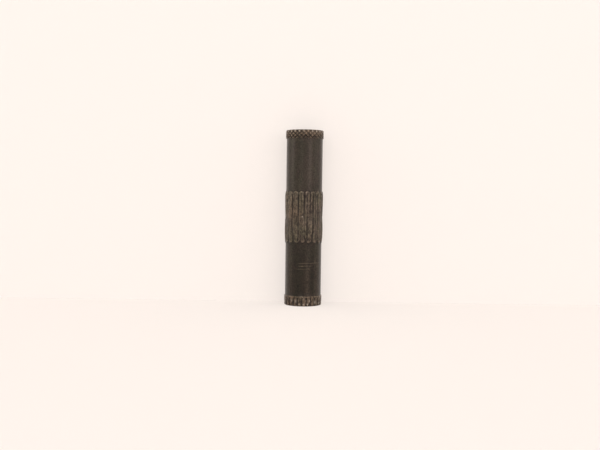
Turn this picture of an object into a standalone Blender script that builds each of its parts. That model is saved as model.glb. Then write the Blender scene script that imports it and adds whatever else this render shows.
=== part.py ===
# Knurled spring pin: one solid piece of turned, blackened steel.
#
# A plain shank carries three rolled bands that stand a little proud of it, so that the pin
# grips the bores it is driven into: a collar of crossed grooves at the upper end, a long band
# of lengthwise ridges in two swellings at the middle, and a collar of steep grooves at the
# lower end. Metres, +Z up. The pin stands on its lower end, whose centre is the origin, and
# its front looks along -Y. Turns are measured from the front, towards +X.

import math

import bmesh
import bpy

MM = 0.001
FRONT = math.radians(-90)

# The pin as a whole
PIN_LENGTH = 28.0 * MM
SHANK_DIAMETER = 5.80 * MM

# Upper collar, rolled with grooves of both hands
UPPER_COLLAR_RISE = 0.12 * MM  # above the shank
UPPER_COLLAR_HEIGHT = 1.35 * MM
UPPER_SHOULDER_RADIUS = 0.10 * MM
UPPER_END_CHAMFER = 0.10 * MM
UPPER_GROOVES = 26  # of each hand
UPPER_GROOVE_ANGLE = math.radians(88)  # between the flanks
UPPER_GROOVE_LEAN = math.radians(45)  # from the pin's axis
UPPER_GROOVE_TURN = math.radians(-3.6)  # of the crossing nearest the front, at the upper end
LEFT_GROOVE_DEPTH = 0.130 * MM
RIGHT_GROOVE_DEPTH = 0.110 * MM

# Lower collar, rolled with grooves of one hand that run out below its top
LOWER_COLLAR_RISE = 0.12 * MM  # above the shank
LOWER_COLLAR_HEIGHT = 1.58 * MM
LOWER_COLLAR_TAPER = 0.035 * MM  # the radius it loses on its way down
LOWER_SHOULDER_RADIUS = 0.10 * MM
LOWER_END_CHAMFER = 0.06 * MM
LOWER_GROOVES = 26
LOWER_GROOVE_ANGLE = math.radians(104)
LOWER_GROOVE_LEAN = math.radians(4)
LOWER_GROOVE_TURN = math.radians(-3.8)  # of the groove nearest the front, at the lower end
LOWER_GROOVE_DEPTH = 0.135 * MM
LOWER_GROOVE_LENGTH = 1.42 * MM
LOWER_GROOVE_RUNOUT = 0.35 * MM  # the part of its length in which it gets shallow

# Middle band: lengthwise ridges in two swellings, which run into each other at a waist
BAND_START = 9.90 * MM  # height of its lower end
LOWER_SWELL_LENGTH = 4.20 * MM  # from the band's lower end to the waist
UPPER_SWELL_LENGTH = 4.20 * MM  # from the waist to the band's upper end
LOWER_SWELL_RISE = 0.165 * MM  # of the ridges' crests, above the shank
WAIST_RISE = 0.09 * MM
UPPER_SWELL_RISE = 0.16 * MM
RIDGES = 19
RIDGE_GAP = 0.10 * MM  # between neighbouring ridges, at the valley floor
FLANK_SPREAD = 0.10 * MM  # how far each flank leans out, from its top to its foot
CROWN_HEIGHT = 0.08 * MM  # of the crest above the top of the flanks
CREST_SPACING = 0.26 * MM  # between the two crests, beside the fine line
FINE_LINE_DEPTH = 0.04 * MM  # of the line along the middle of each ridge
LOWER_RIDGE_RISE = 2.20 * MM  # length over which a ridge rises from its end to its crest
UPPER_RIDGE_RISE = 0.75 * MM
RIDGE_ROUNDING = 0.45 * MM  # length over which its rounded end widens, seen from outside
RIDGE_OVERLAP = 0.35 * MM  # how far a ridge runs on past the waist
RIDGE_TURN = math.radians(11.5)  # of the upper swelling's ridge nearest the front
SWELL_SHIFT = math.radians(5)  # of the lower swelling's ridges against the upper ones
VALLEY_DEPTH = 0.06 * MM  # of the valleys between ridges, below the shank
VALLEY_RUNOUT = 0.35 * MM  # the slope from the shank down into the valleys

# Facets
TURNING_STEPS = 52
SHOULDER_STEPS = 2
ROUNDING_STEPS = 3
LOWER_RISE_STEPS = 2
UPPER_RISE_STEPS = 1
SLOPE_STEPS = 2
OVERLAP_STEPS = 2
GROOVE_STEPS = 2

SHANK_RADIUS = SHANK_DIAMETER / 2
UPPER_COLLAR_RADIUS = SHANK_RADIUS + UPPER_COLLAR_RISE
LOWER_COLLAR_RADIUS = SHANK_RADIUS + LOWER_COLLAR_RISE
VALLEY_RADIUS = SHANK_RADIUS - VALLEY_DEPTH
RIDGE_WIDTH = math.tau * VALLEY_RADIUS / RIDGES - RIDGE_GAP  # at the valley floor
CROWN_WIDTH = RIDGE_WIDTH - 2 * FLANK_SPREAD  # across the top of the flanks
WAIST_HEIGHT = BAND_START + LOWER_SWELL_LENGTH
BAND_END = WAIST_HEIGHT + UPPER_SWELL_LENGTH
QUARTER_TURN = math.pi / 2
CLEAR = 0.10 * MM  # how far a cutter stands past what it cuts
SINK = 0.02 * MM  # how far a joined form's foot lies below the surface
TIP_SHARE = 0.02  # the size of a form's closed tip, against its full section
MERGE_DISTANCE = 1e-6
SHARP_ANGLE = math.radians(28)


def clear_scene():
    """Remove the objects and collections of the open file."""
    for old in list(bpy.data.objects):
        bpy.data.objects.remove(old, do_unlink=True)
    for old in list(bpy.data.collections):
        bpy.data.collections.remove(old)


def new_collection(name):
    """A collection linked to the scene."""
    made = bpy.data.collections.new(name)
    bpy.context.scene.collection.children.link(made)
    return made


def blackened_steel():
    """Dark brown-black oxide on steel."""
    material = bpy.data.materials.new("blackened_steel")
    material.use_nodes = True
    shader = material.node_tree.nodes["Principled BSDF"]
    shader.inputs["Base Color"].default_value = (0.055, 0.044, 0.037, 1.0)
    shader.inputs["Metallic"].default_value = 0.85
    shader.inputs["Roughness"].default_value = 0.45
    return material


def shoulder(collar_radius, centre_height, rounding, first, last):
    """Points (distance from the axis, height) on a collar's rounded edge, between two directions."""
    centre_radius = collar_radius - rounding
    angles = [first + (last - first) * step / SHOULDER_STEPS for step in range(SHOULDER_STEPS + 1)]
    return [(centre_radius + rounding * math.cos(angle), centre_height + rounding * math.sin(angle))
            for angle in angles]


def pin_outline():
    """The turned body's outline, from the middle of the upper end down to that of the lower."""
    lower_end_radius = LOWER_COLLAR_RADIUS - LOWER_COLLAR_TAPER
    upper_edge = PIN_LENGTH - UPPER_COLLAR_HEIGHT
    upper_rounding = min(UPPER_SHOULDER_RADIUS, UPPER_COLLAR_RISE)
    lower_rounding = min(LOWER_SHOULDER_RADIUS, LOWER_COLLAR_RISE)
    return [
        (0.0, PIN_LENGTH),
        (UPPER_COLLAR_RADIUS - UPPER_END_CHAMFER, PIN_LENGTH),
        (UPPER_COLLAR_RADIUS, PIN_LENGTH - UPPER_END_CHAMFER),
        *shoulder(UPPER_COLLAR_RADIUS, upper_edge + upper_rounding, upper_rounding, 0, -QUARTER_TURN),
        (SHANK_RADIUS, upper_edge),
        (SHANK_RADIUS, BAND_END),
        (VALLEY_RADIUS, BAND_END - VALLEY_RUNOUT),
        (VALLEY_RADIUS, BAND_START + VALLEY_RUNOUT),
        (SHANK_RADIUS, BAND_START),
        (SHANK_RADIUS, LOWER_COLLAR_HEIGHT),
        *shoulder(LOWER_COLLAR_RADIUS, LOWER_COLLAR_HEIGHT - lower_rounding, lower_rounding,
                  QUARTER_TURN, 0),
        (lower_end_radius, LOWER_END_CHAMFER),
        (lower_end_radius - LOWER_END_CHAMFER, 0.0),
        (0.0, 0.0),
    ]


def turned_body(name, outline, home):
    """A closed solid turned round Z from an outline that runs down its outer side."""
    mesh = bpy.data.meshes.new(name)
    corners = [(radius, 0.0, height) for radius, height in outline]
    mesh.from_pydata(corners, [(i, i + 1) for i in range(len(corners) - 1)], [])
    body = bpy.data.objects.new(name, mesh)
    home.objects.link(body)
    turning = body.modifiers.new("turning", "SCREW")
    turning.axis = "Z"
    turning.steps = TURNING_STEPS
    turning.render_steps = TURNING_STEPS
    turning.use_merge_vertices = True
    turning.merge_threshold = MERGE_DISTANCE
    return body


def lofted(name, base_radius, section, stations):
    """A closed form carried along the pin's surface.

    The section is a loop of (height above base_radius, distance sideways). Each station is
    (turn round the pin, height up the pin, rise, spread): rise scales the section's heights
    there, and spread its width.
    """
    form = bmesh.new()
    rings = []
    for turn, height, rise, spread in stations:
        cos, sin = math.cos(turn), math.sin(turn)
        corners = [(base_radius + rise * out, spread * side) for out, side in section]
        rings.append([form.verts.new((x * cos - y * sin, x * sin + y * cos, height)) for x, y in corners])
    for ring, following in zip(rings, rings[1:]):
        for i in range(len(section)):
            form.faces.new((ring[i - 1], ring[i], following[i], following[i - 1]))
    form.faces.new(rings[0])
    form.faces.new(rings[-1])
    bmesh.ops.recalc_face_normals(form, faces=form.faces)
    mesh = bpy.data.meshes.new(name)
    form.to_mesh(mesh)
    form.free()
    return mesh


def quarter_ellipse(along, length):
    """Height of a quarter ellipse, 0 at its start and 1 at its length."""
    return math.sqrt(1 - (1 - along / length) ** 2)


def ridge_mesh(name, end_height, swell_rise, ridge_rise, rise_steps):
    """One ridge, from its rounded end at end_height to just past the waist.

    Its height follows a quarter ellipse up to the crest, a parabola down to the waist and a
    quarter ellipse down to nothing past it. Its width follows a shorter quarter ellipse at
    the rounded end, and its height past the waist. A fine line runs along its middle.
    """
    crest = VALLEY_DEPTH + swell_rise
    half_width = RIDGE_WIDTH / 2
    foot = math.sqrt(VALLEY_RADIUS ** 2 - half_width ** 2) - VALLEY_RADIUS - SINK
    right_side = [(foot, half_width), (crest - CROWN_HEIGHT, CROWN_WIDTH / 2), (crest, CREST_SPACING / 2)]
    left_side = [(out, -side) for out, side in reversed(right_side)]
    section = right_side + [(crest - FINE_LINE_DEPTH, 0.0)] + left_side + [(-crest, 0.0)]

    inward = math.copysign(1, WAIST_HEIGHT - end_height)
    crest_height = end_height + inward * ridge_rise
    waist_rise = (VALLEY_DEPTH + WAIST_RISE) / crest
    rounding = min(RIDGE_ROUNDING, ridge_rise)
    stations = [(0.0, end_height, TIP_SHARE, TIP_SHARE)]
    for step in range(1, ROUNDING_STEPS + 1):
        angle = QUARTER_TURN * step / ROUNDING_STEPS
        along = rounding * (1 - math.cos(angle))
        rise = quarter_ellipse(along, ridge_rise)
        stations.append((0.0, end_height + inward * along, rise, math.sin(angle)))
    for step in range(1, rise_steps + 1):
        along = rounding + (ridge_rise - rounding) * step / rise_steps
        rise = quarter_ellipse(along, ridge_rise)
        stations.append((0.0, end_height + inward * along, rise, 1.0))
    for step in range(1, SLOPE_STEPS + 1):
        share = step / SLOPE_STEPS
        height = crest_height + (WAIST_HEIGHT - crest_height) * share
        stations.append((0.0, height, 1 - (1 - waist_rise) * share ** 2, 1.0))
    for step in range(1, OVERLAP_STEPS + 1):
        angle = QUARTER_TURN * step / OVERLAP_STEPS
        spread = max(math.cos(angle), TIP_SHARE)
        height = WAIST_HEIGHT + inward * RIDGE_OVERLAP * math.sin(angle)
        stations.append((0.0, height, waist_rise * spread, spread))
    return lofted(name, VALLEY_RADIUS, section, stations)


def groove_section(crest_radius, depth, flank_angle, lean):
    """The V of a groove, hung from a circle that is clear of the collar's crest."""
    drop = depth + CLEAR
    half_width = drop * math.tan(flank_angle / 2) / math.cos(lean)
    return crest_radius + CLEAR, [(-drop, 0.0), (0.0, half_width), (0.0, -half_width)]


def crossed_groove_mesh(name, depth, lean):
    """One groove of the upper collar, right through it, with no turn at the upper end."""
    base_radius, section = groove_section(UPPER_COLLAR_RADIUS, depth, UPPER_GROOVE_ANGLE, lean)
    high = PIN_LENGTH + CLEAR
    low = PIN_LENGTH - UPPER_COLLAR_HEIGHT - CLEAR
    heights = [high + (low - high) * step / GROOVE_STEPS for step in range(GROOVE_STEPS + 1)]
    turn_per_height = math.tan(lean) / UPPER_COLLAR_RADIUS
    stations = [((height - PIN_LENGTH) * turn_per_height, height, 1.0, 1.0) for height in heights]
    return lofted(name, base_radius, section, stations)


def steep_groove_mesh(name):
    """One groove of the lower collar, with no turn at the lower end, running out at its top."""
    base_radius, section = groove_section(LOWER_COLLAR_RADIUS, LOWER_GROOVE_DEPTH, LOWER_GROOVE_ANGLE,
                                          LOWER_GROOVE_LEAN)
    turn_per_height = math.tan(LOWER_GROOVE_LEAN) / LOWER_COLLAR_RADIUS
    full = LOWER_GROOVE_LENGTH - LOWER_GROOVE_RUNOUT
    # The V leaves the collar's crest when its depth, less what hangs clear of it, reaches zero.
    crest_share = CLEAR / (CLEAR + LOWER_GROOVE_DEPTH)
    tip = full + LOWER_GROOVE_RUNOUT * (1 - TIP_SHARE) / (1 - crest_share)
    stations = [(height * turn_per_height, height, share, share)
                for height, share in ((-CLEAR, 1.0), (full, 1.0), (tip, TIP_SHARE))]
    return lofted(name, base_radius, section, stations)


def repeat_round(mesh, count, turn, home):
    """Copies of a form, evenly spaced round the pin, the first at a turn from the front."""
    for index in range(count):
        copy = bpy.data.objects.new(f"{mesh.name}_{index + 1}", mesh)
        copy.rotation_euler.z = FRONT + turn + index * math.tau / count
        copy.hide_render = True
        copy.display_type = "WIRE"
        home.objects.link(copy)


def combine(body, operation, forms):
    """Join a collection of forms to the body, or cut them from it."""
    step = body.modifiers.new(forms.name, "BOOLEAN")
    step.operation = operation
    step.solver = "EXACT"
    step.operand_type = "COLLECTION"
    step.collection = forms


def finish(body):
    """Keep the combined solid as the body's own mesh, smooth between its sharp edges."""
    graph = bpy.context.evaluated_depsgraph_get()
    solid = bpy.data.meshes.new_from_object(body.evaluated_get(graph))
    body.modifiers.clear()
    body.data = solid
    solid.name = body.name
    solid.shade_smooth()
    solid.set_sharp_from_angle(angle=SHARP_ANGLE)
    solid.materials.clear()
    solid.materials.append(blackened_steel())


def build():
    """The pin: a turned body, joined with its ridges and cut by its grooves."""
    clear_scene()
    parts = new_collection("spring_pin_parts")
    ridges = new_collection("rolled_ridges")
    grooves = new_collection("rolled_grooves")
    body = turned_body("spring_pin", pin_outline(), parts)

    upper_ridge = ridge_mesh("upper_ridge", BAND_END, UPPER_SWELL_RISE, UPPER_RIDGE_RISE, UPPER_RISE_STEPS)
    lower_ridge = ridge_mesh("lower_ridge", BAND_START, LOWER_SWELL_RISE, LOWER_RIDGE_RISE, LOWER_RISE_STEPS)
    repeat_round(upper_ridge, RIDGES, RIDGE_TURN, ridges)
    repeat_round(lower_ridge, RIDGES, RIDGE_TURN + SWELL_SHIFT, ridges)
    combine(body, "UNION", ridges)

    left_groove = crossed_groove_mesh("left_groove", LEFT_GROOVE_DEPTH, UPPER_GROOVE_LEAN)
    right_groove = crossed_groove_mesh("right_groove", RIGHT_GROOVE_DEPTH, -UPPER_GROOVE_LEAN)
    repeat_round(left_groove, UPPER_GROOVES, UPPER_GROOVE_TURN, grooves)
    repeat_round(right_groove, UPPER_GROOVES, UPPER_GROOVE_TURN, grooves)
    repeat_round(steep_groove_mesh("steep_groove"), LOWER_GROOVES, LOWER_GROOVE_TURN, grooves)
    combine(body, "DIFFERENCE", grooves)

    finish(body)


build()
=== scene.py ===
# Knurled spring pin of blackened steel, standing on a pale floor before a pale sheet.
# Lengths in the dictionaries are in mm and turns in degrees: a turn of 0 is the pin's front,
# which looks along -Y, and turns grow towards +X.

import math

import bpy
import numpy as np
from mathutils import Matrix, Vector


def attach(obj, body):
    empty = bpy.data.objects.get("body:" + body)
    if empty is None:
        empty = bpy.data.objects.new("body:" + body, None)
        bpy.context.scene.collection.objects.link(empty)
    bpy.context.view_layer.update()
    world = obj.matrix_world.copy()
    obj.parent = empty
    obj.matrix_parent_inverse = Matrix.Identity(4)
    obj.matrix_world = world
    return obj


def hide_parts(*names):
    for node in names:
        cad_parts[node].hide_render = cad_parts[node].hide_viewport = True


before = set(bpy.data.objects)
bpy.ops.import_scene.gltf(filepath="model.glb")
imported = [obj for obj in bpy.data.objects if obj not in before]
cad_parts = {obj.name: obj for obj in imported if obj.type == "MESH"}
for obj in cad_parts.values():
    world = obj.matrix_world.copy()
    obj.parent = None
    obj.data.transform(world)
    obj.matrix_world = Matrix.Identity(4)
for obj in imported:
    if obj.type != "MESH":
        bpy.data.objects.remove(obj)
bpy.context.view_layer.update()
print("loaded the frame:", ", ".join(sorted(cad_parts)))

mm = 0.001


# Shapes along and round the pin

def smoothStep(low, high, value):
    # 0 below low, 1 above high, and 3s^2 - 2s^3 of the share s of the way between them
    share = np.clip((value - low) / (high - low), 0, 1)
    return share * share * (3 - 2 * share)


def quarterEllipse(along, length):
    # sqrt(1 - (1 - s)^2) of the share s of the length: 0 at the start, upright there, level at the end
    share = np.clip(along / length, 0, 1)
    return np.sqrt(np.clip(1 - (1 - share) ** 2, 0, 1))


def hump(value, centre, width):
    # a bell of height 1: exp(-((value - centre) / width)^2)
    return np.exp(-(((value - centre) / width) ** 2))


def turnFrom(turn, centre, pitch=360.0):
    # the shortest turn from the nearest of the centres that repeat every pitch
    return (turn - centre + pitch / 2) % pitch - pitch / 2


def veeGroove(distance, halfWidth, bottom=0.16, lip=0.10):
    # 1 at the bottom and 0 outside: 1 - |d / w| with its bottom and its two lips rounded off
    slope = 1 + bottom - np.sqrt((distance / halfWidth) ** 2 + bottom ** 2)
    return np.clip((slope + np.sqrt(slope ** 2 + lip ** 2) - lip) / 2, 0, 1)


def ripple(turn, height, seed, waves, turnScale, heightScale):
    # a sum of sines, between about -1 and 1: from 2 to twice turnScale whole waves round the pin, and
    # 0.4 to 1.6 waves in each heightScale mm of height
    rng = np.random.default_rng(seed)
    total = np.zeros(np.broadcast(turn, height).shape)
    for _ in range(waves):
        around = rng.integers(2, int(2 * turnScale))
        along = rng.uniform(0.4, 1.6) / heightScale
        phase, lean = rng.uniform(0, 2 * np.pi, 2)
        total += np.sin(np.radians(turn) * around + phase) * np.sin(2 * np.pi * height * along + lean)
    return total / math.sqrt(waves)


def unevenness(turn, height, mean, swing, low, high, **waves):
    # a factor that wanders about its mean and stays between low and high
    return np.clip(mean + swing * ripple(turn, height, **waves), low, high)


def aboutTurns(turn, spots):
    # a sum of bells round the pin, each given by its turn, half width in degrees and strength
    return sum(strength * hump(turnFrom(turn, middle), 0, halfTurn) for middle, halfTurn, strength in spots)


def onBothSides(turn, middle, halfTurn):
    # a bell as far to the left of the front as to the right of it
    return hump(np.abs(turnFrom(turn, 0)), middle, halfTurn)


def patches(turn, height, spots):
    # a sum of soft patches, each a bell of the turn times a bell of the height, given by its turn,
    # height, strength, half width in degrees and half height in mm
    total = 0
    for middle, level, strength, halfTurn, halfHeight in spots:
        bell = hump(turnFrom(turn, middle), 0, halfTurn) * hump(height, level, halfHeight)
        total = total + strength * bell
    return total


pin = {
    "length": 28.0,
    "shank": 2.90,  # radius
    "columns": 570,
    # rows of the side, close together where the knurls need it: from, to and how many
    "rows": [
        (0.0, 0.06, 3), (0.11, 1.08, 19), (1.12, 1.68, 14), (2.4, 9.3, 4), (9.70, 11.05, 25),
        (11.2, 11.7, 3), (11.83, 12.03, 3), (12.3, 13.4, 3), (13.55, 14.10, 4), (14.16, 14.34, 4),
        (14.45, 17.1, 9), (17.25, 18.50, 25), (19.2, 20.4, 2), (22.0, 26.0, 3), (26.45, 27.88, 43),
        (27.91, 28.0, 4),
    ],
    "endInset": 0.09,  # how far the outer ring of an end face lies inside the rim
    "endRings": [0.33, 0.69, 1.0],  # radii of its rings, as shares of the outer one's
    "sharpAngle": 38.0,
}

upperCollar = {
    "radius": 3.02, "start": 26.55, "full": 26.80, "chamfer": 0.09,
    "count": 26,  # grooves of each hand
    "lean": 48.0,  # of both hands, from the pin's axis
    "turn": -3.6, "crossing": 28.06,  # turn and height of a place where they cross
    "depth": 0.120, "crossDepth": 0.102, "halfWidth": 0.125,
    "crossShare": 0.45,  # of the shallower groove, added to the deeper one where two cross
    "waver": 0.8, "wavering": {"seed": 3, "waves": 7, "turnScale": 8, "heightScale": 1.2},
    "uneven": {"mean": 0.88, "swing": 0.26, "low": 0.5, "high": 1.15,
               "seed": 5, "waves": 9, "turnScale": 9.0, "heightScale": 0.6},
    # factor of the depth, what it loses over these heights, and bells of more or less round the pin
    "fullDepth": 1.08, "topLoss": 0.36, "topHeights": (27.12, 27.42),
    "sideDepths": [(42, 30, -0.30), (-45, 28, 0.16)],
    "notch": 0.11,  # how far the grooves' ends drop below the end face
    "notchHalf": 2.3, "notchReach": 0.30,  # half width in degrees, and how far down rows give way
    # how bare and deep the notches of the front are, from the one at the turn of -59 on, how many
    # lie left of the crossing, and the range of those round the back
    "notches": [0.55, 0.80, 0.75, 1.30, 0.55, 0.10, 0.75, 1.00, 1.00, 0.90],
    "leftOfCrossing": 4, "backNotches": (0.4, 1.0), "notchSeed": 21,
    "bareHalf": 2.0, "bareHeights": (27.50, 27.84),
    # wear of the lands: at the shoulder, what it gains over these heights, and a bell of more
    "wear": 0.64, "wearGain": 0.48, "wearHeights": (26.86, 27.12), "sideWear": [(45, 30, 0.12)],
}

lowerCollar = {
    "radius": 3.02, "taper": 0.035, "full": 1.48, "end": 1.67, "chamfer": 0.06,
    "count": 26, "turn": -4.0, "lean": 2.0,
    "depth": 0.13, "halfWidth": 0.165, "grooveEnd": 1.46, "grooveRunout": 0.26,
    "waver": 0.9, "wavering": {"seed": 8, "waves": 9, "turnScale": 8.0, "heightScale": 0.9},
    "scallop": 0.09, "scalloping": {"seed": 12, "waves": 7, "turnScale": 14.0, "heightScale": 1.2},
    "uneven": {"mean": 0.88, "swing": 0.24, "low": 0.45, "high": 1.15,
               "seed": 9, "waves": 9, "turnScale": 9.0, "heightScale": 0.45},
    # a fainter knurl of the other hand crosses at this height and every pitch from there
    "crossMean": 0.86, "crossSwing": 0.14, "crossHeight": 0.30, "crossPitch": 0.43,
    # wear of the lands, and belts of more or less, the upper one a painted highlight where the shoulder
    # catches light from above: height, half height and strength
    "wear": 0.85, "wearAndHighlightBelts": [(1.55, 0.08, 0.35), (1.36, 0.09, -0.25)],
    # bare lands of the front: turn, height, strength, half width in degrees, half height in mm
    "bareness": 0.9,
    "bareLands": [
        (-36.8, 0.90, 0.40, 3.0, 0.22), (-22.4, 0.80, 0.55, 2.4, 0.26), (-11.1, 0.32, 0.70, 2.2, 0.12),
        (2.0, 0.32, 1.00, 2.2, 0.12), (14.6, 0.32, 1.10, 2.0, 0.13), (20.6, 0.88, 0.70, 2.0, 0.15),
        (2.6, 1.25, 0.35, 2.0, 0.14), (8.0, 0.92, 0.30, 2.0, 0.12), (40.6, 0.60, 0.65, 3.0, 0.22),
        (60.0, 0.40, 0.60, 5.0, 0.16), (65.0, 1.25, 0.40, 4.0, 0.20), (-5.0, 1.58, 0.25, 3.0, 0.06),
    ],
    # those of the back, between these turns and their mirrored ones: turn from the middle of a
    # groove, half width, height, half height and strength
    "backTurns": (72, 80), "backLand": 6.92, "backHalfTurn": 2.0,
    "backHeight": 0.33, "backHalfHeight": 0.13, "backBareness": 0.45,
}

band = {
    "start": 9.90, "waist": 14.10, "end": 18.30,
    "margin": 0.1,  # how far past its ends its values still hold
    "lowerRise": 0.156, "waistRise": 0.086, "upperRise": 0.155,
    "lowerClimb": 2.2, "upperClimb": 0.80,  # length from an arch's edge up to the crest
    "upperArch": 0.62, "lowerArch": 1.00,  # lengths of the arches' rounded ends
    "archPower": 2.2,  # 2 makes them elliptic, and more makes them squarer
    "valley": 0.02,  # how far a full groove goes below the shank
    "upperRim": 0.10, "lowerRim": 0.30,  # how far in the bright rim of an arch lies
    "halfWidth": 0.180, "seed": 11,
    # turn at the waist, depth share in the upper and the lower swelling, and the turns at the
    # upper and the lower end of a groove that parts two arches there (None: it starts inside one)
    "front": [
        (-60.7, 0.80, 0.40, -57.0, None), (-49.0, 0.25, 0.20, None, -54.0),
        (-37.7, 0.95, 0.60, -37.4, -33.5), (-28.6, 0.45, 0.20, None, None),
        (-17.7, 1.00, 0.90, -17.2, None), (-8.6, 0.35, 0.70, None, -11.0),
        (1.0, 0.95, 0.60, 1.4, 5.0), (10.0, 0.65, 1.00, None, None),
        (19.1, 0.90, 0.20, 19.6, None), (29.2, 1.00, 0.95, None, 26.0),
        (38.2, 0.55, 0.50, 38.4, None), (46.4, 0.75, 0.75, None, 45.0),
        (57.0, 0.45, 0.40, 57.0, None), (68.0, 0.65, 0.65, None, 66.0),
    ],
    # those of the back: how far they stray, the strengths of the two kinds and their leans
    "backGrooves": 23, "backStray": 0.8, "backStrong": (0.75, 1.0), "backWeak": (0.25, 0.75),
    "backUpperLean": 1.0, "backLowerLean": -1.5,
    "bend": (1.9, 0.2),  # distances from the end between which a groove bends to its end's turn
    # way in over which a groove inside an arch opens, and one between two arches
    "openInside": (0.22, 0.60), "openBetween": (0.0, 0.85),
    "narrowest": 0.75,  # width of the faintest groove, as a share
    # a groove's lip: its place in half widths, half width, and where it fades from the end
    "lipPlace": 1.25, "lipHalf": 0.07, "lipFade": (2.2, 0.6),
    "blend": 0.7,  # how far from the waist the grooves of both swellings mix
    # share of their depth that they lose, so far below the waist, and over which half height
    "waistLoss": 0.35, "waistLossBelow": 0.6, "waistLossHalf": 1.5,
    "uneven": {"mean": 0.86, "swing": 0.34, "low": 0.25, "high": 1.2,
               "seed": 6, "waves": 9, "turnScale": 8.0, "heightScale": 0.9},
}


def bandGrooves():
    # the measured grooves of the front, and grooves of the same kind round the back
    rng = np.random.default_rng(band["seed"])
    grooves = list(band["front"])
    first, last = grooves[0][0] + 360, grooves[-1][0]
    count, stray = band["backGrooves"], band["backStray"]
    for index in range(1, count + 1):
        turn = last + (first - last) * index / (count + 1) + rng.uniform(-stray, stray)
        strong, weak = rng.uniform(*band["backStrong"]), rng.uniform(*band["backWeak"])
        if index % 2:
            grooves.append((turn, strong, weak, turn + band["backUpperLean"], None))
        else:
            grooves.append((turn, weak, strong, None, turn + band["backLowerLean"]))
    return grooves


def placeInArch(turn, valleys):
    # across the arch that a turn falls in: -1 and 1 in its two valleys, 0 along its middle
    edges = np.sort(np.array(valleys) % 360)
    edges = np.append(edges, edges[0] + 360)
    wrapped = (turn - edges[0]) % 360 + edges[0]
    after = np.clip(np.searchsorted(edges, wrapped, side="right"), 1, len(edges) - 1)
    low, high = edges[after - 1], edges[after]
    return (2 * wrapped - low - high) / (high - low)


def swellingSurface(name, turn, height, grooves):
    # one swelling of the middle band. Its rise above the shank is a quarter ellipse from the arch's
    # edge up to the crest, then a parabola down to the waist. Inside is the way in from that edge.
    upper = name == "upper"
    end, endTurn = (band["end"], 3) if upper else (band["start"], 4)
    crestRise, climb = band[name + "Rise"], band[name + "Climb"]
    away = math.copysign(1, end - band["waist"])
    fromEnd = (end - height) * away
    valleys = [groove[endTurn] for groove in grooves if groove[endTurn] is not None]
    place = np.abs(placeInArch(turn, valleys))
    tip = band[name + "Arch"] * (1 - np.sqrt(np.clip(1 - place ** band["archPower"], 0, 1)))
    inside = fromEnd - tip
    crest = end - away * climb
    droop = np.clip((crest - height) / (crest - band["waist"]), 0, 1) ** 2
    rise = quarterEllipse(inside, climb) * (crestRise - (crestRise - band["waistRise"]) * droop)
    cut, lip = np.zeros_like(rise), np.zeros_like(rise)
    toEnd = smoothStep(*band["bend"], fromEnd)
    for groove in grooves:
        strength, centre = groove[1 if upper else 2], groove[0]
        if groove[endTurn] is None:
            opening = smoothStep(*band["openInside"], inside)
        else:
            centre = centre + (groove[endTurn] - centre) * toEnd
            opening = smoothStep(*band["openBetween"], fromEnd)
        distance = np.radians(turnFrom(turn, centre)) * pin["shank"]
        halfWidth = band["halfWidth"] * (band["narrowest"] + (1 - band["narrowest"]) * strength)
        cut = np.maximum(cut, veeGroove(distance, halfWidth) * strength * opening)
        edge = hump(np.abs(distance), halfWidth * band["lipPlace"], band["lipHalf"])
        lip = np.maximum(lip, edge * strength * opening)
    return rise, cut, inside, lip * smoothStep(*band["lipFade"], fromEnd)


def bandSurface(turn, height):
    # the middle band: two swellings whose grooves fade into each other about the waist
    grooves, waist = bandGrooves(), band["waist"]
    upper = swellingSurface("upper", turn, height, grooves)
    lower = swellingSurface("lower", turn, height, grooves)
    share = smoothStep(-band["blend"], band["blend"], height - waist)
    above = height > waist
    rise = np.where(above, upper[0], lower[0])
    fade = 1 - band["waistLoss"] * hump(height, waist - band["waistLossBelow"], band["waistLossHalf"])
    cut = (lower[1] * (1 - share) + upper[1] * share) * fade
    inside = np.where(above, upper[2] - band["upperRim"], lower[2] - band["lowerRim"])
    lip = np.where(above, upper[3], lower[3])
    return rise, cut * unevenness(turn, height, **band["uneven"]), inside, lip


def upperCollarSurface(turn, height):
    # grooves of both hands, which cross in diamonds: a line leaning by a from the axis turns by
    # tan(a) / radius for each mm of height
    pitch = 360 / upperCollar["count"]
    lean = math.radians(upperCollar["lean"])
    sideways = np.degrees((upperCollar["crossing"] - height) * math.tan(lean) / upperCollar["radius"])
    waver = upperCollar["waver"] * ripple(turn, height, **upperCollar["wavering"])
    depths = []
    for hand, depth in ((1, upperCollar["depth"]), (-1, upperCollar["crossDepth"])):
        across = turnFrom(turn, upperCollar["turn"] + hand * sideways + waver, pitch)
        distance = np.radians(across) * upperCollar["radius"] * math.cos(lean)
        depths.append(depth * veeGroove(distance, upperCollar["halfWidth"]))
    deep, shallow = np.maximum(*depths), np.minimum(*depths)
    towardsTop = smoothStep(*upperCollar["topHeights"], height)
    factor = upperCollar["fullDepth"] - upperCollar["topLoss"] * towardsTop
    factor = factor + aboutTurns(turn, upperCollar["sideDepths"])
    uneven = unevenness(turn, height, **upperCollar["uneven"])
    return (deep + upperCollar["crossShare"] * shallow) * uneven * factor


def notchStrength(turn):
    # which notch of the upper end a turn is at, and how strong it is: the measured ones of the
    # front, and others like them round the back
    rng = np.random.default_rng(upperCollar["notchSeed"])
    count, front = upperCollar["count"], upperCollar["notches"]
    strengths = np.array(front + list(rng.uniform(*upperCollar["backNotches"], count - len(front))))
    first = upperCollar["turn"] - upperCollar["leftOfCrossing"] * 360 / count
    index = np.round((turn - first) / (360 / count)).astype(int) % count
    return strengths[index]


def notchBell(turn, halfTurn):
    # a bell at each notch, by the notch's strength
    fromNotch = turnFrom(turn, upperCollar["turn"], 360 / upperCollar["count"])
    return notchStrength(turn) * hump(fromNotch, 0, halfTurn)


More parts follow.
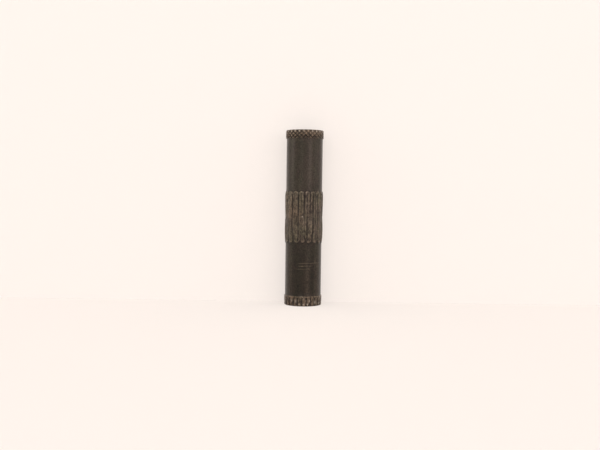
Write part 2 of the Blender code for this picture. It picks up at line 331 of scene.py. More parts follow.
def lowerCollarSurface(turn, height):
    # the steep grooves of the lower collar, which run out below its upper edge
    pitch = 360 / lowerCollar["count"]
    slant = np.degrees(height * math.tan(math.radians(lowerCollar["lean"])) / lowerCollar["radius"])
    waver = lowerCollar["waver"] * ripple(turn, height, **lowerCollar["wavering"])
    across = turnFrom(turn, lowerCollar["turn"] + slant + waver, pitch)
    scallop = lowerCollar["scallop"] * ripple(turn, height * 0, **lowerCollar["scalloping"])
    top = lowerCollar["grooveEnd"] + scallop
    runout = smoothStep(top, top - lowerCollar["grooveRunout"], height)
    crossing = 2 * np.pi * (height - lowerCollar["crossHeight"]) / lowerCollar["crossPitch"]
    uneven = unevenness(turn, height, **lowerCollar["uneven"])
    uneven = uneven * (lowerCollar["crossMean"] + lowerCollar["crossSwing"] * np.cos(crossing))
    vee = veeGroove(np.radians(across) * lowerCollar["radius"], lowerCollar["halfWidth"])
    return lowerCollar["depth"] * vee * runout * uneven


# Wear, dirt, tint and painted highlights of the side

bandRubAndHighlights = {
    # wear of a crest level with the shank, what the highest one has more, the most of all, and how
    # far outside an arch's rim a crest still counts
    "least": 0.15, "byRise": 0.75, "most": 1.3, "crestWayIn": -0.05,
    "lowerHeights": (14.3, 13.4),  # between which the lower swelling's own dullness sets in
    # the bright rims of the arches, partly wear and partly a painted highlight where the arches' edges
    # catch light from above: half width, strength, share of the grooves' lips in them
    "rimHalf": 0.095, "rim": 0.85, "lip": 0.6,
    "rimUneven": {"mean": 0.85, "swing": 0.4, "low": 0.35, "high": 1.15,
                  "seed": 17, "waves": 9, "turnScale": 9.0, "heightScale": 3.0},
    # where the lower rims fade: turn, half width and share, and the heights over which they do
    "rimFades": [(-45, 11, 0.6), (57, 12, 0.5)], "rimFadeHeights": (12, 11),
    "cup": 0.34, "cupWayIn": (0.46, 0.34),  # the dull cups inside the rims: way in and half width
    # more wear near the lower arches' feet: everywhere, then on both sides; height, half height
    "feet": 0.48, "sideFeet": 0.42, "sideFeetTurns": (50, 26), "feetHeights": (10.5, 1.2),
    # patches of more and less wear: turn, height, strength, half width, half height
    "patches": [(-10, 17.9, -0.20, 30, 0.7), (-42, 14.8, 0.50, 24, 1.2)],
    # dullness of the lower swelling, and at a side: turn, half width, everywhere, and what the
    # lower swelling has more
    "lowerDull": 0.22, "sideDull": [(-52, 24, 0.02, 0.30), (50, 22, 0.15, -0.12)],
    # the feet of the outer arches are as worn as their crests
    "outerFeet": 0.45, "outerTurns": (54, 20), "outerHeights": (10.9, 10.2), "outerWayIn": (-0.22, 0.05),
    "grooveLoss": 0.9,  # share of the wear that a full groove takes away
}

bandDarkening = {
    # darker along the feet of the arches, less on both sides: way in and half width
    "foot": 0.50, "sideLoss": 0.36, "sideTurns": (52, 22), "footWayIn": (-0.26, 0.17),
    "cup": 0.16, "cupWayIn": (0.42, 0.26), "grooveWayIn": (-0.3, 0.1),
    # dark nicks across the ridges: turn, height, strength, half width, half height
    "nicks": [(2.0, 11.92, 0.8, 3.6, 0.07), (34.0, 11.93, 0.8, 3.2, 0.07), (-39.0, 11.85, 0.8, 2.2, 0.09)],
}

shankSheen = {
    # painted reflections on the lower shank, which lighten it through the worn colour
    "middleStreak": [(13, 8, 0.13)],  # turn, half width and strength
    # the streaks of both sides: turns between which each sets in, and ends, and strength
    "sideStreaks": [(33, 41, 80, 55, 0.15), (-34, -42, -80, -55, 0.12)],
    "heights": (10.5, 8.7),  # between which they all set in, downwards
}

tints = {
    # a bright nick above the waist: turn, height, strength, half width, half height
    "brightNick": [(-4.8, 14.24, 1.2, 1.5, 0.075)],
    # browner rub on the upper left of the band and on both collars, the lower one's left most
    "brownPatch": [(-38, 14.9, 0.9, 32, 1.9)], "upperBrown": 0.7,
    "lowerBrown": 0.35, "lowerBrownSide": [(-50, 35, 0.6)],
    # painted reflection tints: the oxide leans to violet right of the front's middle, where a lamp's
    # reflection runs, and to olive on its left, along the lighter edge
    "violet": 0.5, "reflectionTints": [(14, 14, 0.5), (-44, 26, -0.4)],
}


def bandWearAndHighlight(turn, height, rise, cut, inside, lip):
    # crests worn by their rise, with bright rims that are partly wear and partly painted highlight, dull
    # cups and patches of more and less wear
    lower = smoothStep(*bandRubAndHighlights["lowerHeights"], height)
    fading = aboutTurns(turn, bandRubAndHighlights["rimFades"]) * smoothStep(*bandRubAndHighlights["rimFadeHeights"], height)
    # the rims paint a highlight over the wear
    rim = np.maximum(hump(inside, 0, bandRubAndHighlights["rimHalf"]), bandRubAndHighlights["lip"] * lip)
    rim = rim * unevenness(turn, height, **bandRubAndHighlights["rimUneven"]) * (1 - fading)
    worn = np.clip(bandRubAndHighlights["least"] + rise / band["upperRise"] * bandRubAndHighlights["byRise"], 0, 1)
    worn = worn * (inside > bandRubAndHighlights["crestWayIn"])
    feet = bandRubAndHighlights["feet"] + bandRubAndHighlights["sideFeet"] * onBothSides(turn, *bandRubAndHighlights["sideFeetTurns"])
    worn = worn + feet * hump(height, *bandRubAndHighlights["feetHeights"]) * (inside > 0)
    worn = worn + patches(turn, height, bandRubAndHighlights["patches"])
    dull = bandRubAndHighlights["cup"] * hump(inside, *bandRubAndHighlights["cupWayIn"]) + bandRubAndHighlights["lowerDull"] * lower
    for middle, halfTurn, everywhere, onLower in bandRubAndHighlights["sideDull"]:
        dull = dull + (everywhere + onLower * lower) * hump(turnFrom(turn, middle), 0, halfTurn)
    worn = np.clip(worn * (1 - dull) + bandRubAndHighlights["rim"] * rim, 0, bandRubAndHighlights["most"])
    worn = worn * (1 - bandRubAndHighlights["grooveLoss"] * cut)
    outer = onBothSides(turn, *bandRubAndHighlights["outerTurns"]) * smoothStep(*bandRubAndHighlights["outerHeights"], height)
    return np.maximum(worn, bandRubAndHighlights["outerFeet"] * outer * smoothStep(*bandRubAndHighlights["outerWayIn"], inside))


def bandHollow(turn, height, cut, inside):
    # dirt in the grooves, in their cups and in the nicks, and darker along the arches' feet
    foot = bandDarkening["foot"] - bandDarkening["sideLoss"] * onBothSides(turn, *bandDarkening["sideTurns"])
    foot = foot * hump(inside, *bandDarkening["footWayIn"])
    cup = bandDarkening["cup"] * hump(inside, *bandDarkening["cupWayIn"])
    hollow = np.maximum(cut * smoothStep(*bandDarkening["grooveWayIn"], inside), np.maximum(foot, cup))
    for nick in bandDarkening["nicks"]:
        hollow = np.maximum(hollow, patches(turn, height, [nick]))
    return hollow


def shankSheenStreaks(turn, height):
    # painted reflections: the lower shank is lightened in three streaks, one where a lamp's reflection runs
    # down its front and a sheen along each side
    sideways = turnFrom(turn, 0)
    streaks = aboutTurns(turn, shankSheen["middleStreak"])
    for setIn, full, end, last, strength in shankSheen["sideStreaks"]:
        streaks = streaks + strength * smoothStep(setIn, full, sideways) * smoothStep(end, last, sideways)
    return streaks * smoothStep(*shankSheen["heights"], height)


def upperWear(turn, height, edge, cut):
    # the upper collar's lands, duller at its shoulder
    gain = upperCollar["wearGain"] * smoothStep(*upperCollar["wearHeights"], height)
    worn = edge * (1 - cut / upperCollar["depth"]) * (upperCollar["wear"] + gain)
    return worn * (1 + aboutTurns(turn, upperCollar["sideWear"]))


def lowerWear(height, edge, cut):
    # the lower collar's lands, with a bright belt of painted highlight and a dull belt near its upper edge
    belts = sum(strength * hump(height, level, half) for level, half, strength in lowerCollar["wearAndHighlightBelts"])
    return edge * (lowerCollar["wear"] + belts - cut / lowerCollar["depth"])


def bareMetal(turn, height):
    # the notches of the upper end, lands of the lower collar and a nick at the waist
    bare = notchBell(turn, upperCollar["bareHalf"]) * smoothStep(*upperCollar["bareHeights"], height)
    bare = bare + lowerCollar["bareness"] * patches(turn, height, lowerCollar["bareLands"])
    fromGroove = np.abs(turnFrom(turn, lowerCollar["turn"], 360 / lowerCollar["count"]))
    back = hump(fromGroove, lowerCollar["backLand"], lowerCollar["backHalfTurn"])
    back = back * hump(height, lowerCollar["backHeight"], lowerCollar["backHalfHeight"])
    back = back * smoothStep(*lowerCollar["backTurns"], np.abs(turnFrom(turn, 0)))
    return bare + lowerCollar["backBareness"] * back + patches(turn, height, tints["brightNick"])


def pinSide(turn, height):
    # distance from the axis, and how worn, hollow, bare, browned and violet the side is; the wear carries
    # painted highlights and the violet painted reflection tints
    shank = pin["shank"]
    rise, cut, inside, lip = bandSurface(turn, height)
    bandRadius = shank + rise - cut * (rise + band["valley"])

    upperEdge = smoothStep(upperCollar["start"], upperCollar["full"], height)
    upperCut = upperCollarSurface(turn, height) * upperEdge
    upperRadius = shank + (upperCollar["radius"] - shank) * upperEdge - upperCut
    topLimit = upperCollar["radius"] - upperCollar["chamfer"] + (pin["length"] - height)

    lowerEdge = smoothStep(lowerCollar["end"], lowerCollar["full"], height)
    lowerCut = lowerCollarSurface(turn, height) * lowerEdge
    tapered = lowerCollar["taper"] * (1 - np.clip(height / lowerCollar["full"], 0, 1))
    lowerCrest = lowerCollar["radius"] - tapered
    lowerRadius = shank + (lowerCrest - shank) * lowerEdge - lowerCut
    bottomLimit = lowerCrest - lowerCollar["chamfer"] + height

    onBand = (height > band["start"] - band["margin"]) & (height < band["end"] + band["margin"])
    onUpper, onLower = height > upperCollar["start"], height < lowerCollar["end"]

    # the collars' own values, then the band's, and the shank's everywhere else
    def byPart(ofBand, ofUpper, ofLower, elsewhere):
        return np.where(onLower, ofLower, np.where(onUpper, ofUpper, np.where(onBand, ofBand, elsewhere)))

    radius = byPart(bandRadius, np.minimum(upperRadius, topLimit),
                    np.minimum(lowerRadius, bottomLimit), shank)
    # the crests' wear holds painted highlights too: the band's rims, the lower collar's upper belt and the
    # lower shank's streaks
    crest = byPart(bandWearAndHighlight(turn, height, rise, cut, inside, lip),
                   upperWear(turn, height, upperEdge, upperCut),
                   lowerWear(height, lowerEdge, lowerCut), shankSheenStreaks(turn, height))
    hollow = byPart(bandHollow(turn, height, cut, inside), upperCut / upperCollar["depth"],
                    lowerCut / lowerCollar["depth"], 0)
    warm = patches(turn, height, tints["brownPatch"]) + tints["upperBrown"] * upperEdge
    warm = warm + lowerEdge * (tints["lowerBrown"] + aboutTurns(turn, tints["lowerBrownSide"]))
    # its leans beside the front are painted reflection tints
    violet = tints["violet"] + aboutTurns(turn, tints["reflectionTints"])
    masks = {"crest": np.clip(crest, 0, bandRubAndHighlights["most"]), "hollow": np.clip(hollow, 0, 1),
             "bare": np.clip(bareMetal(turn, height), 0, 1), "warm": np.clip(warm, 0, 1), "violet": violet}
    return radius, masks


def rowHeights():
    return np.concatenate([np.linspace(low, high, count) for low, high, count in pin["rows"]])


def rimNotches(turn, height):
    # how far the rows near the upper end drop where the grooves run out of it
    share = smoothStep(pin["length"] - upperCollar["notchReach"], pin["length"], height)
    return upperCollar["notch"] * notchBell(turn, upperCollar["notchHalf"]) * share


def endRings(rim, level):
    # rings of an end face, from near the axis out to just inside the rim
    rings = (rim.min() - pin["endInset"]) * np.array(pin["endRings"])
    flat = np.repeat(rings[:, None], len(rim), axis=1)
    return flat, np.full_like(flat, level)


def makePin():
    # one closed skin: the side's rows, and each end closed by rings that shrink to the axis. A point
    # lies at (r sin t, -r cos t, h) for its distance r, turn t and height h.
    turns = np.arange(pin["columns"]) * 360 / pin["columns"]
    turn, height = np.meshgrid(turns, rowHeights())
    radius, masks = pinSide(turn, height)
    height = height - rimNotches(turn, height)

    lowerRadius, lowerLevel = endRings(radius[0], 0.0)
    upperRadius, upperLevel = endRings(radius[-1], pin["length"])
    radius = np.vstack([lowerRadius, radius, upperRadius[::-1]])
    height = np.vstack([lowerLevel, height, upperLevel[::-1]])
    blank = np.zeros_like(lowerRadius)

    rows, columns = radius.shape
    angle = np.radians(turns)[None, :]
    points = np.stack([radius * np.sin(angle), -radius * np.cos(angle), height], axis=-1).reshape(-1, 3)
    poles = np.array([[0, 0, 0], [0, 0, pin["length"]]], float)
    points = np.vstack([points, poles]) * mm

    here = np.arange(columns)
    following = (here + 1) % columns
    starts = np.arange(rows - 1)[:, None] * columns
    quads = np.stack([starts + here, starts + following,
                      starts + columns + following, starts + columns + here], axis=-1)
    lowerPole = np.full(columns, rows * columns)
    lowerFan = np.stack([lowerPole, following, here], axis=-1)
    last = (rows - 1) * columns
    upperFan = np.stack([lowerPole + 1, last + here, last + following], axis=-1)
    faces = quads.reshape(-1, 4).tolist() + lowerFan.tolist() + upperFan.tolist()

    mesh = bpy.data.meshes.new("knurledPin")
    mesh.from_pydata(points.tolist(), [], faces)
    for name, mask in masks.items():
        values = np.append(np.vstack([blank, mask, blank]).ravel(), [0.0, 0.0])
        mesh.attributes.new(name, "FLOAT", "POINT").data.foreach_set("value", values.astype(np.float32))
    quadCount, ofRings = (rows - 1) * columns, len(pin["endRings"]) * columns
    onEnd = np.zeros(len(faces), np.int32)
    onEnd[:ofRings] = 1
    onEnd[quadCount - ofRings:] = 1
    mesh.polygons.foreach_set("material_index", onEnd)
    mesh.shade_smooth()
    mesh.set_sharp_from_angle(angle=math.radians(pin["sharpAngle"]))
    mesh.update()
    piece = bpy.data.objects.new("knurledPin", mesh)
    bpy.context.scene.collection.objects.link(piece)
    print("pin:", rows, "rows of", columns, "with", 2 * quadCount + 2 * columns, "triangles")
    return piece


# Finishes

def addNode(tree, kind, **settings):
    made = tree.nodes.new(kind)
    for name, value in settings.items():
        setattr(made, name, value)
    return made


def mathNode(tree, operation, first, second=None, third=None, clamp=False):
    made = addNode(tree, "ShaderNodeMath", operation=operation, use_clamp=clamp)
    for socket, value in zip(made.inputs, (first, second, third)):
        if value is None:
            continue
        if isinstance(value, (int, float)):
            socket.default_value = value
        else:
            tree.links.new(value, socket)
    return made.outputs[0]


def mixColour(tree, share, first, second, blend="MIX"):
    made = addNode(tree, "ShaderNodeMix", data_type="RGBA", blend_type=blend)
    for socket, value in zip((made.inputs[0], made.inputs[6], made.inputs[7]), (share, first, second)):
        if isinstance(value, (int, float)):
            socket.default_value = value
        elif isinstance(value, tuple):
            socket.default_value = (*value, 1.0)
        else:
            tree.links.new(value, socket)
    return made.outputs[2]


def stretchedNoise(tree, place, scale, detail, roughness):
    # noise whose grains are 1 / scale long on each axis; it wanders about 0.5
    mapping = addNode(tree, "ShaderNodeMapping")
    mapping.inputs["Scale"].default_value = scale
    tree.links.new(place, mapping.inputs["Vector"])
    noise = addNode(tree, "ShaderNodeTexNoise")
    noise.inputs["Scale"].default_value = 1.0
    noise.inputs["Detail"].default_value = detail
    noise.inputs["Roughness"].default_value = roughness
    tree.links.new(mapping.outputs[0], noise.inputs["Vector"])
    return noise.outputs["Fac"]


def spread(tree, value, low, high, toLow=0.0, toHigh=1.0):
    # toLow up to low, toHigh from high on, and an eased climb between them
    made = addNode(tree, "ShaderNodeMapRange", interpolation_type="SMOOTHSTEP")
    tree.links.new(value, made.inputs["Value"])
    for name, number in (("From Min", low), ("From Max", high), ("To Min", toLow), ("To Max", toHigh)):
        made.inputs[name].default_value = number
    return made.outputs[0]


def newGroup(name, inputs, outputs):
    # a group whose sockets are numbers, apart from Place, which is a vector
    group = bpy.data.node_groups.new(name, "ShaderNodeTree")
    for direction, labels in (("INPUT", inputs), ("OUTPUT", outputs)):
        for label in labels:
            kind = "NodeSocketVector" if label == "Place" else "NodeSocketFloat"
            group.interface.new_socket(label, in_out=direction, socket_type=kind)
    return group, group.nodes.new("NodeGroupInput"), group.nodes.new("NodeGroupOutput")


def placeGroup(tree, group, **values):
    made = addNode(tree, "ShaderNodeGroup", node_tree=group)
    for name, value in values.items():
        if isinstance(value, (int, float)):
            made.inputs[name].default_value = value
        else:
            tree.links.new(value, made.inputs[name])
    return made


noises = {
    # grains per metre on each axis, detail and roughness
    "patches": ((620, 620, 330), 3.0, 0.6), "grain": ((5200, 5200, 4200), 2.0, 0.6),
    "rubbed": ((3400, 3400, 1300), 3.0, 0.6), "tints": ((760, 760, 420), 2.0, 0.6),
    "marksDetail": 3.0, "marksRoughness": 0.65,
}


def oxideMottleGroup():
    # black oxide is never even: cloudy patches a few mm across, and a fine grain over them
    group, source, result = newGroup("oxideMottle", ["Place", "Patches", "Grain"], ["Shade", "Grain"])
    place = source.outputs["Place"]
    patchNoise = stretchedNoise(group, place, *noises["patches"])
    grain = stretchedNoise(group, place, *noises["grain"])
    cloudy = mathNode(group, "SUBTRACT", patchNoise, 0.5)
    patchShade = mathNode(group, "MULTIPLY_ADD", cloudy, source.outputs["Patches"], 1.0)
    fine = mathNode(group, "SUBTRACT", grain, 0.5)
    grainShade = mathNode(group, "MULTIPLY", fine, source.outputs["Grain"])
    group.links.new(mathNode(group, "ADD", patchShade, grainShade), result.inputs["Shade"])
    group.links.new(grain, result.inputs["Grain"])
    return group


def toolMarksGroup():
    # the fine lines that a turning tool leaves: noise that changes along one distance only, in metres
    group, source, result = newGroup("toolMarks", ["Distance", "Lines per metre"], ["Height"])
    along = mathNode(group, "MULTIPLY", source.outputs["Distance"], source.outputs["Lines per metre"])
    noise = addNode(group, "ShaderNodeTexNoise", noise_dimensions="1D")
    noise.inputs["Scale"].default_value = 1.0
    noise.inputs["Detail"].default_value = noises["marksDetail"]
    noise.inputs["Roughness"].default_value = noises["marksRoughness"]
    group.links.new(along, noise.inputs["W"])
    group.links.new(noise.outputs["Fac"], result.inputs["Height"])
    return group


def ringScratchGroup():
    # a shallow line round part of the pin, in mm: 1 along its middle and 0 beside and past its ends,
    # fading over the last quarter of its reach
    group, source, result = newGroup(
        "ringScratch", ["Place", "Height", "Slope", "Width", "Middle", "Reach"], ["Mask"])
    axes = addNode(group, "ShaderNodeSeparateXYZ")
    group.links.new(source.outputs["Place"], axes.inputs[0])
    across = mathNode(group, "DIVIDE", axes.outputs["X"], mm)
    upward = mathNode(group, "DIVIDE", axes.outputs["Z"], mm)
    sideways = mathNode(group, "SUBTRACT", across, source.outputs["Middle"])
    level = mathNode(group, "MULTIPLY_ADD", sideways, source.outputs["Slope"], source.outputs["Height"])
    off = mathNode(group, "ABSOLUTE", mathNode(group, "SUBTRACT", upward, level))
    share = mathNode(group, "DIVIDE", off, source.outputs["Width"])
    line = mathNode(group, "SUBTRACT", 1.0, share, clamp=True)
    past = mathNode(group, "DIVIDE", mathNode(group, "ABSOLUTE", sideways), source.outputs["Reach"])
    fade = spread(group, past, 0.75, 1.0, 1.0, 0.0)
    front = mathNode(group, "LESS_THAN", axes.outputs["Y"], 0.0)
    mask = mathNode(group, "MULTIPLY", mathNode(group, "MULTIPLY", line, fade), front)
    group.links.new(mask, result.inputs["Mask"])
    return group


steel = {
    "oxide": (0.0372, 0.0290, 0.0211), "oxideLow": (0.0210, 0.0157, 0.0105),
    "oxideHeights": (3.0, 22.0),  # between which the darker colour of the lower end turns into the upper end's
    # tints of its patches
    "olive": (0.965, 1.025, 0.975), "violet": (1.035, 0.985, 1.04), "brown": (1.07, 0.955, 0.93),
    "worn": (0.142, 0.111, 0.0765), "dirt": (0.015, 0.0122, 0.0098), "bare": (0.45, 0.385, 0.32),
    "metallic": 0.90, "roughness": 0.34, "oil": 0.25,  # a thin film over the oxide
}

sideFinish = {
    "mottle": {"Patches": 0.8, "Grain": 2.4}, "marks": {"Lines per metre": 9500.0},
    "rubbed": (0.30, 0.64, 0.10, 1.12),  # range of the noise, and the shares of the wear it leaves
    "dirtShare": 0.95, "bareShare": 0.9,
    "tintLean": 0.25, "tintRange": (0.36, 0.64),
    "grainRoughness": 0.22, "dirtRoughness": 0.25,  # what each adds to the roughness
    # parts of the bump's height, its strength, and its distance in mm
    "grainHeight": 0.9, "marksHeight": 0.35, "scratchDepth": 1.2, "bump": 0.35, "bumpDistance": 0.02,
    "scratchRubbed": (0.36, 0.56, 0.5, 1.0),
    # height, slope, width, middle across the front and reach, all in mm, and strength
    "scratches": [(6.86, 0.03, 0.11, 0.95, 1.95, 0.40), (6.41, 0.0, 0.13, 0.25, 1.25, 0.36),
                  (6.38, -0.03, 0.10, -0.32, 0.45, 0.74), (5.93, 0.02, 0.10, 0.0, 1.2, 0.33)],
}


def newSteel(name):
    # what the side and the ends share, with the places on the piece and their three coordinates
    material = bpy.data.materials.new(name)
    material.use_nodes = True
    tree = material.node_tree
    shader = tree.nodes["Principled BSDF"]
    shader.inputs["Metallic"].default_value = steel["metallic"]
    place = addNode(tree, "ShaderNodeTexCoord").outputs["Object"]
    axes = addNode(tree, "ShaderNodeSeparateXYZ")
    tree.links.new(place, axes.inputs[0])
    return material, tree, shader, place, axes.outputs


def addBump(tree, shader, height, finish):
    bump = addNode(tree, "ShaderNodeBump")
    bump.inputs["Strength"].default_value = finish["bump"]
    bump.inputs["Distance"].default_value = finish["bumpDistance"] * mm
    tree.links.new(height, bump.inputs["Height"])
    tree.links.new(bump.outputs[0], shader.inputs["Normal"])


def attributeValue(tree, name):
    return addNode(tree, "ShaderNodeAttribute", attribute_name=name).outputs["Fac"]


def blackenedSideMaterial(mottle, marks, scratch):
    # oxide, worn on the crests and lightened there by painted highlights, dirty in the grooves and darker
    # along the band's arch feet, bare in spots and tinted by painted reflections, with scratches over it
    finish = sideFinish
    material, tree, shader, place, axes = newSteel("blackenedSteel")
    cloudy = placeGroup(tree, mottle, Place=place, **finish["mottle"])
    turned = placeGroup(tree, marks, Distance=axes["Z"], **finish["marks"]).outputs["Height"]
    masks = ("crest", "hollow", "bare", "warm", "violet")
    crest, hollow, bare, warm, violet = (attributeValue(tree, name) for name in masks)

    # the side is darker towards the lower end
    low, high = steel["oxideHeights"]
    upward = spread(tree, axes["Z"], low * mm, high * mm)
    oxide = mixColour(tree, upward, steel["oxideLow"], steel["oxide"])
    # the worn colour also paints highlights where the crest mask holds them
    rubbed = stretchedNoise(tree, place, *noises["rubbed"])
    wear = mathNode(tree, "MULTIPLY", crest, spread(tree, rubbed, *finish["rubbed"]))
    colour = mixColour(tree, wear, oxide, steel["worn"])
    colour = mixColour(tree, mathNode(tree, "MULTIPLY", hollow, finish["dirtShare"]), colour, steel["dirt"])
    colour = mixColour(tree, 1.0, colour, cloudy.outputs["Shade"], "MULTIPLY")
    # the lean to violet and olive beside the front paints the tint of reflections
    lean = finish["tintLean"]
    leaning = mathNode(tree, "MULTIPLY_ADD", violet, lean, -lean / 2)
    tinted = mathNode(tree, "ADD", stretchedNoise(tree, place, *noises["tints"]), leaning)
    tint = mixColour(tree, spread(tree, tinted, *finish["tintRange"]), steel["olive"], steel["violet"])
    tint = mixColour(tree, warm, tint, steel["brown"])
    colour = mixColour(tree, 1.0, colour, tint, "MULTIPLY")

    lines = None
    for height, slope, width, middle, reach, strength in finish["scratches"]:
        values = {"Height": height, "Slope": slope, "Width": width, "Middle": middle, "Reach": reach}
        line = placeGroup(tree, scratch, Place=place, **values).outputs[0]
        line = mathNode(tree, "MULTIPLY", line, strength)
        lines = line if lines is None else mathNode(tree, "MAXIMUM", lines, line)
    lines = mathNode(tree, "MULTIPLY", lines, spread(tree, rubbed, *finish["scratchRubbed"]))
    colour = mixColour(tree, lines, colour, steel["worn"])
    colour = mixColour(tree, mathNode(tree, "MULTIPLY", bare, finish["bareShare"]), colour, steel["bare"])
    tree.links.new(colour, shader.inputs["Base Color"])

    fine = mathNode(tree, "SUBTRACT", cloudy.outputs["Grain"], 0.5)
    rough = mathNode(tree, "MULTIPLY_ADD", fine, finish["grainRoughness"], steel["roughness"])
    rough = mathNode(tree, "MULTIPLY_ADD", hollow, finish["dirtRoughness"], rough, clamp=True)
    tree.links.new(rough, shader.inputs["Roughness"])
    shader.inputs["Coat Weight"].default_value = steel["oil"]
    shader.inputs["Coat Roughness"].default_value = steel["roughness"]

    grainHeight = mathNode(tree, "MULTIPLY", cloudy.outputs["Grain"], finish["grainHeight"])
    height = mathNode(tree, "MULTIPLY_ADD", turned, finish["marksHeight"], grainHeight)
    height = mathNode(tree, "SUBTRACT", height, mathNode(tree, "MULTIPLY", lines, finish["scratchDepth"]))
    addBump(tree, shader, height, finish)
    return material


endFinish = {
    "mottle": {"Patches": 0.5, "Grain": 0.3}, "marks": {"Lines per metre": 7000.0},
    "rimWear": 0.5, "rimRadii": (2.35, 2.82),  # wear of the rim, and where it sets in
    "roughness": 0.32, "marksRoughness": 0.2,  # what the tool marks add
    "bump": 0.5, "bumpDistance": 0.02,
}


def blackenedEndMaterial(mottle, marks):
    # oxide over the rings that facing leaves, worn towards the rim
    finish = endFinish
    material, tree, shader, place, axes = newSteel("blackenedEnd")
    squares = mathNode(tree, "MULTIPLY_ADD", axes["X"], axes["X"],
                       mathNode(tree, "MULTIPLY", axes["Y"], axes["Y"]))
    fromAxis = mathNode(tree, "SQRT", squares)
    cloudy = placeGroup(tree, mottle, Place=place, **finish["mottle"])
    turned = placeGroup(tree, marks, Distance=fromAxis, **finish["marks"]).outputs["Height"]
    inner, outer = finish["rimRadii"]
    rim = spread(tree, fromAxis, inner * mm, outer * mm)
    wear = mathNode(tree, "MULTIPLY", rim, finish["rimWear"])
    colour = mixColour(tree, wear, steel["oxide"], steel["worn"])
    colour = mixColour(tree, 1.0, colour, cloudy.outputs["Shade"], "MULTIPLY")
    tree.links.new(colour, shader.inputs["Base Color"])
    rough = mathNode(tree, "MULTIPLY_ADD", turned, finish["marksRoughness"], finish["roughness"])
    tree.links.new(rough, shader.inputs["Roughness"])
    addBump(tree, shader, turned, finish)
    return material


# Floor, sheet, light and camera

stage = {
    "colour": (0.985, 0.911, 0.861),  # warm white of the sheet
    # the share of the colour that the camera and the pin's reflections see whatever the light: so
    # much about the pin, and all of it from the far distance on, where the floor meets the world
    "glow": 0.60, "near": 60.0, "far": 140.0,  # distances from the pin's foot
    "sheetBehind": 3.07, "half": 2500.0,
}


def seenRays(tree):
    # 1 for camera, glossy and transmission rays, which all see the pale background
    path = addNode(tree, "ShaderNodeLightPath")
    seen = mathNode(tree, "MAXIMUM", path.outputs["Is Camera Ray"], path.outputs["Is Glossy Ray"])
    return mathNode(tree, "MAXIMUM", seen, path.outputs["Is Transmission Ray"])


def paleMaterial(name, seeThrough):
    # diffuse, with a share of its own colour for camera, glossy and transmission rays, so that it
    # shows pale and keeps a soft shadow; the share grows to the whole of it far from the pin. From
    # behind, the sheet isn't there
    material = bpy.data.materials.new(name)
    material.use_nodes = True
    tree = material.node_tree
    tree.nodes.remove(tree.nodes["Principled BSDF"])
    output = tree.nodes["Material Output"]
    diffuse = addNode(tree, "ShaderNodeBsdfDiffuse")
    diffuse.inputs["Color"].default_value = (*stage["colour"], 1.0)
    glow = addNode(tree, "ShaderNodeEmission")
    glow.inputs["Color"].default_value = (*stage["colour"], 1.0)
    place = addNode(tree, "ShaderNodeTexCoord").outputs["Object"]
    distance = addNode(tree, "ShaderNodeVectorMath", operation="LENGTH")
    tree.links.new(place, distance.inputs[0])
    steady = spread(tree, distance.outputs["Value"], stage["near"] * mm, stage["far"] * mm,
                    stage["glow"], 1.0)
    share = mathNode(tree, "MULTIPLY", seenRays(tree), steady)
    mixed = addNode(tree, "ShaderNodeMixShader")
    tree.links.new(share, mixed.inputs[0])
    tree.links.new(diffuse.outputs[0], mixed.inputs[1])
    tree.links.new(glow.outputs[0], mixed.inputs[2])
    surface = mixed.outputs[0]
    if seeThrough:
        clear = addNode(tree, "ShaderNodeBsdfTransparent")
        side = addNode(tree, "ShaderNodeNewGeometry")
        sides = addNode(tree, "ShaderNodeMixShader")
        tree.links.new(side.outputs["Backfacing"], sides.inputs[0])
        tree.links.new(surface, sides.inputs[1])
        tree.links.new(clear.outputs[0], sides.inputs[2])
        surface = sides.outputs[0]
    tree.links.new(surface, output.inputs["Surface"])
    return material


def addStage():
    half, behind = stage["half"], stage["sheetBehind"]
    flats = {
        "paleFloor": ([(-half, -half, 0), (half, -half, 0), (half, half, 0), (-half, half, 0)], False),
        "paleSheet": ([(-half, behind, 0), (half, behind, 0),
                       (half, behind, half), (-half, behind, half)], True),
    }
    for name, (corners, seeThrough) in flats.items():
        mesh = bpy.data.meshes.new(name)
        mesh.from_pydata([[length * mm for length in corner] for corner in corners], [], [(0, 1, 2, 3)])
        flat = bpy.data.objects.new(name, mesh)
        mesh.materials.append(paleMaterial(name, seeThrough))
        bpy.context.scene.collection.objects.link(flat)


studio = {
    "worldStrength": 0.80, "worldColour": (1.0, 0.985, 0.965),
    # turn from the front, elevation, distance, width, height (mm) and the light that it throws on
    # the sheet
    "lamps": {
        "lampAbove": (0.0, 32.0, 330.0, 260.0, 120.0, 0.16),
        "lampRight": (36.0, 9.0, 330.0, 140.0, 120.0, 0.068),
        "lampLeft": (-20.0, 9.0, 330.0, 60.0, 120.0, 0.020),
        "lampFarLeft": (-88.0, 14.0, 330.0, 220.0, 150.0, 0.16),
        "lampFarRight": (88.0, 14.0, 330.0, 240.0, 150.0, 0.08),
    },
}


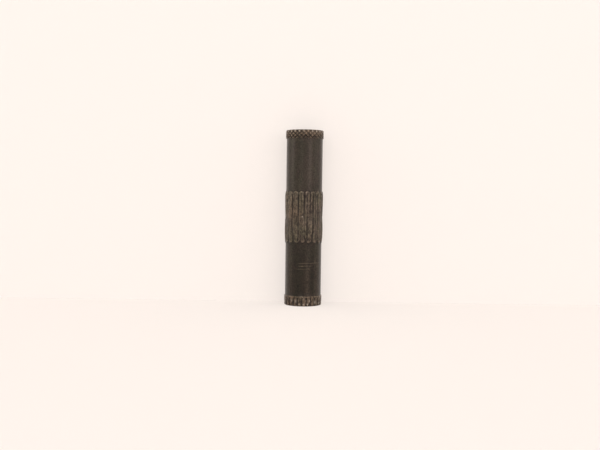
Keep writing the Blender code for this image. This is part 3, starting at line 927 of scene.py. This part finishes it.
def addLight():
    world = bpy.data.worlds.new("paleStudio")
    bpy.context.scene.world = world
    world.use_nodes = True
    tree = world.node_tree
    background = tree.nodes["Background"]
    # it lights the pin at its own strength, and those rays see it as white as the sheet
    seen = seenRays(tree)
    colour = mixColour(tree, seen, studio["worldColour"], stage["colour"])
    tree.links.new(colour, background.inputs["Color"])
    dim = studio["worldStrength"]
    strength = mathNode(tree, "MULTIPLY_ADD", seen, 1 - dim, dim)
    tree.links.new(strength, background.inputs["Strength"])
    middle = Vector((0, 0, pin["length"] / 2)) * mm
    for name, (turn, elevation, distance, width, height, share) in studio["lamps"].items():
        light = bpy.data.lights.new(name, "AREA")
        light.shape = "RECTANGLE"
        light.size = width * mm
        light.size_y = height * mm
        turn, elevation = math.radians(turn), math.radians(elevation)
        level = math.cos(elevation)
        away = Vector((math.sin(turn) * level, -math.cos(turn) * level, math.sin(elevation)))
        # a lamp of power P throws P / (pi d^2) of irradiance, and pi of it shows white as white
        light.energy = share * math.pi * math.pi * (distance * mm) ** 2
        lamp = bpy.data.objects.new(name, light)
        lamp.location = middle + away * distance * mm
        lamp.rotation_euler = away.to_track_quat("Z", "Y").to_euler()
        bpy.context.scene.collection.objects.link(lamp)


viewpoint = {
    "place": (-0.60, -130.42, 18.1),  # mm
    "pitch": -2.32, "turn": 0.0, "roll": 0.76,
    "focal": 808.0, "frameWidth": 600.0,  # pixels
    "sensor": 36.0,  # mm
    "nearest": 0.01, "farthest": 10.0,  # what it sees, in metres
}


def addCamera():
    camera = bpy.data.cameras.new("photoCamera")
    camera.sensor_width = viewpoint["sensor"]
    camera.lens = viewpoint["sensor"] * viewpoint["focal"] / viewpoint["frameWidth"]
    camera.clip_start, camera.clip_end = viewpoint["nearest"], viewpoint["farthest"]
    holder = bpy.data.objects.new("photoCamera", camera)
    pitch, turn, roll = (math.radians(viewpoint[name]) for name in ("pitch", "turn", "roll"))
    level = Matrix.Rotation(turn, 3, "Z") @ Matrix.Rotation(math.pi / 2 + pitch, 3, "X")
    facing = level @ Matrix.Rotation(roll, 3, "Z")
    holder.matrix_world = Matrix.Translation(Vector(viewpoint["place"]) * mm) @ facing.to_4x4()
    bpy.context.scene.collection.objects.link(holder)
    bpy.context.scene.camera = holder


pinPiece = makePin()
mottleGroup, marksGroup, scratchGroup = oxideMottleGroup(), toolMarksGroup(), ringScratchGroup()
pinPiece.data.materials.append(blackenedSideMaterial(mottleGroup, marksGroup, scratchGroup))
pinPiece.data.materials.append(blackenedEndMaterial(mottleGroup, marksGroup))
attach(pinPiece, "root")
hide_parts("spring_pin")
print("pin finished in blackened steel")

addStage()
addLight()
addCamera()
bpy.context.scene.view_settings.view_transform = "Standard"
print("floor, sheet, lamps and camera placed")
